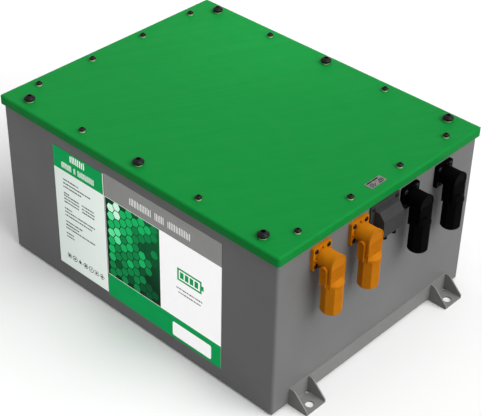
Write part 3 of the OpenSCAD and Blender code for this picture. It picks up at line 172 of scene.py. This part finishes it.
def plastic(name, color, rough, specular=0.3, spread=0.06):
    """Moulded plastic with a fine spark-eroded grain."""
    m = Mat(name, color, rough, specular=specular)
    m.tint(m.noise(scale=60.0, detail=3.0), scaled(color, 1 - spread), scaled(color, 1 + spread))
    m.gloss(m.noise(scale=400.0, detail=3.0), rough - 0.08, rough + 0.08)
    m.bump(m.noise(scale=2600.0, detail=2.0), strength=0.35, distance=0.00006)
    return m


def plated(name, color, rough, metal=1.0):
    """Plated or machined metal with fine streaks."""
    m = Mat(name, color, rough, metal)
    fine = m.noise(scale=1.0, detail=4.0, vector=m.mapped(scale=(900, 900, 120)))
    m.tint(fine, scaled(color, 0.9), scaled(color, 1.08))
    m.gloss(fine, rough - 0.08, rough + 0.1)
    m.bump(fine, strength=0.15, distance=0.00004)
    return m


# Printed film: roughness and how much it varies, specular level, and the height in millimetres over
# which the label's own film changes its colour
FILM_ROUGH = 0.45
FILM_GLOSS_SPREAD = 0.05
FILM_SPECULAR = 0.03
FILM_EDGE = 0.2


def film_base(name, color, rough=FILM_ROUGH):
    """Printed film before its colour, with a faint unevenness of its gloss."""
    m = Mat(name, color, rough, specular=FILM_SPECULAR)
    m.gloss(m.noise(scale=90.0, detail=2.0), rough - FILM_GLOSS_SPREAD, rough + FILM_GLOSS_SPREAD)
    return m


def film(name, color, rough=FILM_ROUGH, spread=0.03):
    """Printed film with even ink."""
    m = film_base(name, color, rough)
    m.tint(m.noise(scale=45.0, detail=3.0), scaled(color, 1 - spread), scaled(color, 1 + spread),
           start=0.35, end=0.65)
    m.bump(m.noise(scale=260.0, detail=2.0), strength=0.08, distance=0.00005)
    return m


def shaded_film(name, low, high, start, end):
    """Printed film whose ink runs from one tone to another between two places (x, z) on the wall."""
    m = film_base(name, low)
    (x0, z0), (x1, z1) = start, end
    length = math.hypot(x1 - x0, z1 - z0)
    total = m.node("ShaderNodeMath", operation="ADD")
    m.link(m.ramp(m.axis("X"), 0, (x1 - x0) / length, x0 * MM, x1 * MM), total.inputs[0])
    m.link(m.ramp(m.axis("Z"), 0, (z1 - z0) / length, z0 * MM, z1 * MM), total.inputs[1])
    m.tint(total.outputs[0], low, high, start=0.1, end=1.2)
    return m


def body_film(name, low, high, field_z):
    """A label's own film: one colour up to a height and another above it, so its edges match the print."""
    m = film_base(name, low)
    m.tint(m.axis("Z"), low, high, start=field_z * MM, end=(field_z + FILM_EDGE) * MM)
    return m


case_mat = coated("case_coat", linear(121, 121, 121), 0.5)
# Painted light: the feet get a lighter copy of the case's grey, which brightens them where the case shades
# them
lightened_foot_mat = coated("foot_coat_lightened", linear(134, 134, 133), 0.5)
lid_mat = lid_coat("lid_coat", linear(16, 137, 57), 0.5)
orange_mat = plastic("plug_orange", linear(196, 118, 12), 0.6, specular=0.06)
black_mat = plastic("plug_black", linear(3, 3, 3), 0.6, specular=0.02)
hood_mat = plastic("hood_plastic", linear(63, 63, 64), 0.55, specular=0.04)
screw_mat = coated("black_oxide", linear(14, 17, 14), 0.36, grain=900.0, depth=0.00004,
                   spread=0.12, specular=0.14)
spacer_mat = plated("zinc_spacer", linear(226, 216, 178), 0.4, metal=0.2)
zinc_mat = plated("zinc", linear(200, 198, 190), 0.35)
copper_mat = plated("copper", linear(200, 128, 92), 0.35)
alu_mat = plated("aluminium", linear(205, 207, 209), 0.38)
rubber_mat = plastic("rubber", linear(42, 42, 42), 0.75, specular=0.2)
insulation_mat = plastic("insulation", linear(226, 224, 214), 0.6)
cell_mat = plastic("cell_film", linear(52, 92, 170), 0.35, specular=0.5)
device_mat = plastic("device_black", linear(36, 36, 38), 0.5)
ceramic_mat = plastic("ceramic", linear(222, 216, 202), 0.55)
board_mat = plastic("solder_mask", linear(26, 98, 56), 0.35)
plate_mat = plated("plate_silver", linear(122, 118, 118), 0.5, metal=0.1)

# The nodes that each material covers. The two label films are dressed with their print
NODE_MATS = {
    case_mat: ["case"],
    lightened_foot_mat: ["foot_rail_front", "foot_rail_rear"],
    lid_mat: ["lid"],
    rubber_mat: ["lid_gasket", "socket_seals", "cable_seals"],
    screw_mat: ["lid_screws_large", "lid_screws_small", "panel_screws", "side_plate_screws",
                "contactor_screws", "bms_screws"],
    spacer_mat: ["lid_washers"],
    zinc_mat: ["rivet_nuts", "panel_nuts", "terminal_bolts", "power_bolts", "m8_nuts",
               "side_plate_near", "side_plate_far"],
    plate_mat: ["lid_plate"],
    orange_mat: ["socket_pos_a", "socket_pos_b", "plug_pos_a", "plug_pos_b",
                 "gland_nut_pos_a", "gland_nut_pos_b"],
    black_mat: ["socket_neg_a", "socket_neg_b", "plug_neg_a", "plug_neg_b",
                "gland_nut_neg_a", "gland_nut_neg_b", "signal_glands"],
    hood_mat: ["signal_hood"],
    device_mat: ["signal_insert", "contactor"],
    copper_mat: ["socket_pins", "plug_contacts", "cell_links", "positive_bar", "negative_bar",
                 "positive_lead", "negative_lead", "shunt"],
    cell_mat: ["cells_near_row", "cells_far_row"],
    insulation_mat: ["cell_pads", "cell_divider", "base_pad", "cell_cover"],
    alu_mat: ["end_plate_front", "end_plate_rear", "bms_plate"],
    ceramic_mat: ["fuse"],
    board_mat: ["bms_board"],
}


def dress(obj, m):
    obj.data.materials.clear()
    obj.data.materials.append(m.mat)


for m, names in NODE_MATS.items():
    for name in names:
        dress(nodes[name], m)

# Inks and fields of the print
WHITE_INK = linear(252, 252, 252)
GREEN_INK = linear(8, 147, 77)
GREY_INK = linear(133, 133, 131)
green_film = film("film_green", GREEN_INK)
grey_film = film("film_grey", GREY_INK)
white_film = film("film_white", WHITE_INK, rough=0.4, spread=0.005)
ink_dark = film("ink_dark", linear(30, 34, 32), rough=0.5)
ink_grey = film("ink_grey", linear(78, 82, 80), rough=0.5)
ink_white = film("ink_white", linear(246, 248, 246), spread=0.01)
ink_green = film("ink_green", linear(8, 150, 78))
ink_red = film("ink_red", linear(176, 66, 48), rough=0.5)

# Print: thin flat prisms in layers on the labels and on the nameplate, sizes in millimetres
LAYER_H = 0.08
SUNK = 0.05
printed = []


def on_label(u, v, height):
    """Place on the label wall: u along X, v along Z."""
    return (u * MM, (FILM_Y - height) * MM, v * MM)


def on_plate(u, v, height):
    """Place on the nameplate: u from its near edge along Y, v from its +X edge towards -X."""
    return ((PLATE_X1 - v) * MM, (PLATE_Y0 + u) * MM, (PLATE_TOP + height) * MM)


def print_on(place, name, outlines, layer, m):
    """Closed flat prisms from outlines of (u, v), given anticlockwise as seen."""
    verts, faces = [], []
    for path in outlines:
        n, first = len(path), len(verts)
        verts += [place(u, v, LAYER_H * layer) for u, v in path]
        verts += [place(u, v, -SUNK) for u, v in path]
        faces.append([first + i for i in range(n)])
        faces.append([first + n + i for i in reversed(range(n))])
        for i in range(n):
            j = (i + 1) % n
            faces.append([first + j, first + i, first + n + i, first + n + j])
    mesh = bpy.data.meshes.new(name)
    mesh.from_pydata(verts, [], faces)
    mesh.validate()
    mesh.update()
    obj = bpy.data.objects.new(name, mesh)
    bpy.context.scene.collection.objects.link(obj)
    dress(obj, m)
    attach(obj, "root")
    printed.append(obj)


def rect(x0, z0, x1, z1):
    return [(x0, z0), (x1, z0), (x1, z1), (x0, z1)]


def box_at(x, z, box):
    """A box x0, z0, x1, z1 moved by x and z."""
    x0, z0, x1, z1 = box
    return (x + x0, z + z0, x + x1, z + z1)


def round_rect(x0, z0, x1, z1, r, steps=5):
    """Rectangle with round corners of radius r."""
    corners = ((x1 - r, z0 + r, -90), (x1 - r, z1 - r, 0),
               (x0 + r, z1 - r, 90), (x0 + r, z0 + r, 180))
    points = []
    for cx, cz, start in corners:
        for i in range(steps + 1):
            a = math.radians(start + 90 * i / steps)
            points.append((cx + r * math.cos(a), cz + r * math.sin(a)))
    return points


def polygon_at(cx, cz, r, sides, start=0.0):
    """Regular polygon whose first corner lies at the angle start, in degrees."""
    turn = math.radians(start)
    return [(cx + r * math.cos(turn + math.tau * i / sides),
             cz + r * math.sin(turn + math.tau * i / sides)) for i in range(sides)]


def frame_of(cx, cz, r, sides, width, start):
    """An outlined polygon, as one prism for each side."""
    outer = polygon_at(cx, cz, r, sides, start)
    inner = polygon_at(cx, cz, r - width, sides, start)
    return [[outer[i], outer[(i + 1) % sides], inner[(i + 1) % sides], inner[i]] for i in range(sides)]


# Two strokes stand for a letter. The second lies this share of the pitch to the right, and the first
# stroke of every third letter is shorter by this share of the height
SECOND_STROKE = 0.52
SHORTER_BY = 0.12


def word_marks(x, z, box, words, stroke):
    """Groups of upright strokes that stand for words without spelling any, in a box seen from (x, z)."""
    x0, z0, x1, z1 = box_at(x, z, box)
    pitch = (x1 - x0) / (sum(words) + len(words) - 1)
    out, letter = [], 0
    for count in words:
        for _ in range(count):
            left = x0 + letter * pitch
            right = left + SECOND_STROKE * pitch
            top = z1 if letter % 3 else z1 - SHORTER_BY * (z1 - z0)
            out.append(rect(left, z0, left + stroke, top))
            out.append(rect(right, z0, right + stroke, z1))
            letter += 1
        letter += 1
    return out


# Lengths of the marks in a line of small print, of the spaces between them, and of the end left free
MARK_L = (1.2, 4.2)
SPACE_L = (0.5, 1.3)
FREE_END = 1


def text_line(x0, x1, z, height, seed):
    """A line of small print as short marks of uneven length."""
    rng = random.Random(seed)
    out, x = [], x0
    while x < x1 - FREE_END:
        length = min(rng.uniform(*MARK_L), x1 - x)
        out.append(rect(x, z - height / 2, x + length, z + height / 2))
        x += length + rng.uniform(*SPACE_L)
    return out


# Edges of the labels' fields, and the white line that stays between two fields
GAP = 0.8
HEAD_Z = DATA_Z0 + 179
DATA_EDGE = DATA_X1 - 1.2
FOOT_Z = FRONT_Z0 + 41
BAND_Z = FRONT_Z0 + 183
PICTURE_X1 = FRONT_X0 + 113.5

# Groups of marks: box from the lower left corner of their field, letters in each word, and stroke
HEADER_UPPER = ((38, 23, 71, 35), (4,), 2.2)
HEADER_LOWER = ((18, 5.5, 90, 16), (5, 1, 8), 1.15)
TITLE = ((53.5, 11.5, 176.5, 24), (7, 3, 7), 1.25)

# Field to write in, from the front label's lower left corner
WRITE_BOX = (138, 5, 216, 30.5)
WRITE_R = 3

# The data panel's tone changes between these heights below and above its middle
PALE_BELOW, PALE_ABOVE = 8, 22

# Lines of small print: height, start and end, from the label's lower edge and the text's left edge
TEXT_X = DATA_X0 + 19
TEXT_H = 2.3
SMALL_PRINT = [
    (163.6, 0, 34), (157, 0, 60), (150.5, 0, 41),
    (139, 0, 12), (134.4, 0, 34), (128.7, 0, 33.5), (123, 0, 32.5),
    (134.4, 40, 68), (128.7, 40, 68), (123, 40, 67),
    (110.8, 0, 16), (105, 0, 67), (98.4, 0, 60),
    (86.6, 0, 39), (80.3, 0, 31), (74.5, 0, 66),
    (64.3, 0, 16), (58.5, 0, 17),
]

# Plain symbols: sides of the outline, the angle of its first corner, sides of the mark inside
SYMBOLS = [(4, 45, 24), (24, 0, 4), (3, 90, 6), (6, 0, 24), (24, 0, 3), (4, 45, 4), (4, 0, 6)]
SYMBOL_X, SYMBOL_Z, SYMBOL_PITCH = DATA_X0 + 22, DATA_Z0 + 21, 12.4
SYMBOL_R, SQUARE_R, SYMBOL_LINE, SYMBOL_MARK_R = 5.4, 5.8, 1.1, 2.4


def data_label():
    """Header with two lines of marks, small print and a row of plain symbols."""
    middle = (DATA_Z0 + HEAD_Z) / 2
    pale_film = shaded_film("film_pale", linear(214, 224, 218), linear(232, 240, 234),
                            (DATA_X0, middle - PALE_BELOW), (DATA_X1, middle + PALE_ABOVE))
    dress(nodes["label_data"], body_film("film_data", linear(232, 238, 234), GREEN_INK, HEAD_Z))
    header = [rect(DATA_X0, HEAD_Z, DATA_EDGE, DATA_Z1)]
    panel = [rect(DATA_X0, DATA_Z0, DATA_EDGE, HEAD_Z)]
    edge = [rect(DATA_EDGE, DATA_Z0, DATA_X1, DATA_Z1)]
    header_marks = (word_marks(DATA_X0, HEAD_Z, *HEADER_UPPER)
                    + word_marks(DATA_X0, HEAD_Z, *HEADER_LOWER))
    lines = []
    for i, (z, start, end) in enumerate(SMALL_PRINT):
        lines += text_line(TEXT_X + start, TEXT_X + end, DATA_Z0 + z, TEXT_H, seed=i + 1)
    symbols = []
    for i, (sides, start, mark_sides) in enumerate(SYMBOLS):
        x = SYMBOL_X + SYMBOL_PITCH * i
        r = SQUARE_R if sides == 4 else SYMBOL_R
        symbols += frame_of(x, SYMBOL_Z, r, sides, SYMBOL_LINE, start)
        symbols.append(polygon_at(x, SYMBOL_Z, SYMBOL_MARK_R, mark_sides, start=90))
    print_on(on_label, "data_header", header, 1, green_film)
    print_on(on_label, "data_panel", panel, 1, pale_film)
    print_on(on_label, "data_edge", edge, 1, white_film)
    print_on(on_label, "header_marks", header_marks, 2, ink_white)
    print_on(on_label, "small_print", lines, 2, ink_dark)
    print_on(on_label, "symbol_row", symbols, 2, ink_dark)


def front_label():
    """Band with a line of marks, white panel, green foot and the field to write in."""
    dress(nodes["label_front"], body_film("film_front", WHITE_INK, GREY_INK, BAND_Z))
    band = [rect(FRONT_X0, BAND_Z, FRONT_X1, FRONT_Z1)]
    title = word_marks(FRONT_X0, BAND_Z, *TITLE)
    foot = [rect(FRONT_X0, FRONT_Z0, FRONT_X1, FOOT_Z)]
    panel = [rect(PICTURE_X1 + GAP, FOOT_Z + GAP, FRONT_X1, BAND_Z)]
    write_field = [round_rect(*box_at(FRONT_X0, FRONT_Z0, WRITE_BOX), WRITE_R)]
    print_on(on_label, "title_band", band, 1, grey_film)
    print_on(on_label, "title_marks", title, 2, ink_white)
    print_on(on_label, "label_footer", foot, 1, green_film)
    print_on(on_label, "white_panel", panel, 1, white_film)
    print_on(on_label, "write_field", write_field, 2, white_film)


# Hexagons: radius to a corner, what each loses at its edge, and how the tone falls from the upper left
HEX_R = 8.6
HEX_EDGE = 0.9
TONE_REACH = 1.3
TONE_SPAN = 4.6
TONE_SPREAD = (-1.0, 0.8)
TONE_MIN = 0.1


def picture_field():
    """A honeycomb of plain hexagons over a deep green ground."""
    x0, x1, z0, z1 = FRONT_X0 + GAP, PICTURE_X1, FOOT_Z + GAP, BAND_Z - GAP
    ground = shaded_film("film_deep_green", linear(2, 44, 24), linear(6, 118, 62), (x1, z0), (x0, z1))
    print_on(on_label, "picture_ground", [rect(x0, z0, x1, z1)], 1, ground)
    tones = [
        film("hex_dark", linear(4, 78, 42)), film("hex_mid", linear(12, 128, 68)),
        film("hex_green", linear(24, 176, 96)), film("hex_light", linear(96, 226, 156)),
        film("hex_pale", linear(206, 250, 224), spread=0.01),
    ]
    rng = random.Random(11)
    by_tone = [[] for _ in tones]
    step_x, step_z = 1.5 * HEX_R, math.sqrt(3) * HEX_R
    columns, rows = int((x1 - x0) / step_x), int((z1 - z0) / step_z)
    start_x = x0 + (x1 - x0 - step_x * (columns - 1)) / 2
    start_z = z0 + (z1 - z0 - step_z * (rows - 0.5)) / 2
    for i in range(columns):
        for j in range(rows):
            x = start_x + step_x * i
            z = start_z + step_z * (j + 0.5 * (i % 2))
            near = 1 - math.hypot((x - x0) / (x1 - x0), (z - z1) / (z1 - z0)) / TONE_REACH
            tone = near * TONE_SPAN + rng.uniform(*TONE_SPREAD)
            if tone > TONE_MIN:
                by_tone[min(len(tones) - 1, int(tone))].append(polygon_at(x, z, HEX_R - HEX_EDGE, 6))
    for i, outlines in enumerate(by_tone):
        if outlines:
            print_on(on_label, "hexagons_%d" % i, outlines, 2, tones[i])


# Battery sign: centre, half width, half height and line, its cap, and the bars inside
SIGN_X, SIGN_Z = FRONT_X0 + 173, FRONT_Z0 + 125
SIGN_W, SIGN_H, SIGN_LINE = 24, 11, 3
CAP_L, CAP_H = 4, 4
BAR_COUNT, BAR_START, BAR_PITCH, BAR_W, BAR_H = 4, -18.5, 9.6, 7, 5.5

# Lines of marks below the sign: half length, height from the sign's centre, and seed
PANEL_LINES = [(26, -25.5, 31), (22, -32.5, 32)]
PANEL_TEXT_H = 2.2


def battery_sign():
    """A plain battery sign on the white panel, and two lines of marks below it."""
    x0, x1, z0, z1 = SIGN_X - SIGN_W, SIGN_X + SIGN_W, SIGN_Z - SIGN_H, SIGN_Z + SIGN_H
    sign = [
        rect(x0, z0, x1, z0 + SIGN_LINE), rect(x0, z1 - SIGN_LINE, x1, z1),
        rect(x0, z0 + SIGN_LINE, x0 + SIGN_LINE, z1 - SIGN_LINE),
        rect(x1 - SIGN_LINE, z0 + SIGN_LINE, x1, z1 - SIGN_LINE),
        rect(x1, SIGN_Z - CAP_H, x1 + CAP_L, SIGN_Z + CAP_H),
    ]
    for i in range(BAR_COUNT):
        left = SIGN_X + BAR_START + BAR_PITCH * i
        sign.append(rect(left, SIGN_Z - BAR_H, left + BAR_W, SIGN_Z + BAR_H))
    lines = []
    for half, z, seed in PANEL_LINES:
        lines += text_line(SIGN_X - half, SIGN_X + half, SIGN_Z + z, PANEL_TEXT_H, seed)
    print_on(on_label, "battery_sign", sign, 2, ink_green)
    print_on(on_label, "panel_marks", lines, 2, ink_grey)


# Nameplate: bars of the bold line and the red spot as boxes, and lines of marks, two for each height
PLATE_BARS = [(3, 10.6, 14, 13), (15, 10.6, 27, 13)]
PLATE_SPOT = (16, 6.6, 19.4, 8.8)
PLATE_LINES = [(3, 13), (19, 30), (2.5, 14), (21, 31), (4, 12), (23, 31)]
PLATE_LINE_V, PLATE_LINE_PITCH = 2.4, 2.7
PLATE_TEXT_H = 1.7
PLATE_SEED = 41


def nameplate():
    """A bold line, short lines of marks and a red spot on the nameplate."""
    marks = [rect(*bar) for bar in PLATE_BARS]
    for i, (start, end) in enumerate(PLATE_LINES):
        v = PLATE_LINE_V + PLATE_LINE_PITCH * (i // 2)
        marks += text_line(start, end, v, PLATE_TEXT_H, PLATE_SEED + i)
    print_on(on_plate, "nameplate_marks", marks, 1, ink_dark)
    print_on(on_plate, "nameplate_spot", [rect(*PLATE_SPOT)], 1, ink_red)


data_label()
front_label()
picture_field()
battery_sign()
nameplate()

# World: it lights the object at one level and is seen as white
AMBIENT = 0.45


def lit_and_seen(tree, lit, seen):
    """Grey with one level for rays that light the object, and another where it is seen or reflected."""
    path = tree.nodes.new("ShaderNodeLightPath")
    last = path.outputs["Is Camera Ray"]
    for name in ("Is Glossy Ray", "Is Transmission Ray"):
        n = tree.nodes.new("ShaderNodeMath")
        n.operation = "MAXIMUM"
        tree.links.new(last, n.inputs[0])
        tree.links.new(path.outputs[name], n.inputs[1])
        last = n.outputs[0]
    mix = tree.nodes.new("ShaderNodeMix")
    mix.data_type = "RGBA"
    mix.inputs[MIX_A].default_value = grey(lit)
    mix.inputs[MIX_B].default_value = grey(seen)
    tree.links.new(last, mix.inputs[MIX_FACTOR])
    return mix.outputs[MIX_COLOR]


world = bpy.data.worlds.new("studio")
bpy.context.scene.world = world
world.use_nodes = True
background = world.node_tree.nodes["Background"]
world.node_tree.links.new(lit_and_seen(world.node_tree, AMBIENT, 1.0), background.inputs["Color"])


# Lamps
def sun(name, strength, angle, direction):
    """A soft distant lamp that shines from the given direction, its angle in degrees."""
    data = bpy.data.lights.new(name, "SUN")
    data.energy = strength
    data.angle = math.radians(angle)
    obj = bpy.data.objects.new(name, data)
    bpy.context.scene.collection.objects.link(obj)
    obj.rotation_euler = Vector(direction).to_track_quat("Z", "Y").to_euler()
    return obj


def label_fill():
    """A lamp for the print alone, which stays bright on the wall that the key lamp doesn't reach."""
    lamp = sun("label_fill", strength=1.85, angle=40, direction=(0.1, -0.95, 0.25))
    receivers = bpy.data.collections.new("label_fill_receivers")
    for obj in printed + [nodes["label_front"], nodes["label_data"]]:
        receivers.objects.link(obj)
    lamp.light_linking.receiver_collection = receivers


# Pool lamp: place over the lid and height above it, in metres
POOL_X, POOL_Y, POOL_ABOVE = -0.14, 0.23, 0.25


def pool_lamp():
    """A small soft lamp over the lid's far left part."""
    data = bpy.data.lights.new("pool", "AREA")
    data.shape = "DISK"
    data.size = 0.15
    data.energy = 0.2
    lamp = bpy.data.objects.new("pool", data)
    bpy.context.scene.collection.objects.link(lamp)
    lamp.location = (POOL_X, POOL_Y, PLATE_TOP * MM + POOL_ABOVE)
    lamp.visible_camera = False
    lamp.visible_glossy = False


sun("key", strength=2.3, angle=56, direction=(0.72, 0.16, 0.67))
sun("top", strength=0.36, angle=50, direction=(0.0, 0.0, 1.0))
label_fill()
pool_lamp()

# Floor: pale, just below the feet, in metres
FLOOR_HALF = 30.0
FLOOR_Z = -0.0002
FLOOR_LIT, FLOOR_SEEN = 0.3, 0.99
floor_corners = [(x, y, FLOOR_Z) for x, y in rect(-FLOOR_HALF, -FLOOR_HALF, FLOOR_HALF, FLOOR_HALF)]
floor_mesh = bpy.data.meshes.new("floor")
floor_mesh.from_pydata(floor_corners, [], [(0, 1, 2, 3)])
floor = bpy.data.objects.new("floor", floor_mesh)
bpy.context.scene.collection.objects.link(floor)
floor_mat = Mat("floor_white", grey(0.9), rough=0.9, specular=0.0)
floor_mat.link(lit_and_seen(floor_mat.tree, FLOOR_LIT, FLOOR_SEEN), floor_mat.bsdf.inputs["Base Color"])
dress(floor, floor_mat)

# Camera at the photograph's viewing angle, in metres and degrees
CAMERA_PLACE = (1.15662, -1.23413, 1.33855)
CAMERA_TURN = (53.89558, -0.98652, 43.58978)
camera_data = bpy.data.cameras.new("camera")
camera_data.sensor_width = 36.0
camera_data.lens = 100.7066
camera_data.clip_end = 100.0
camera = bpy.data.objects.new("camera", camera_data)
bpy.context.scene.collection.objects.link(camera)
camera.location = CAMERA_PLACE
camera.rotation_euler = tuple(math.radians(a) for a in CAMERA_TURN)
bpy.context.scene.camera = camera
bpy.context.scene.view_settings.view_transform = "Standard"
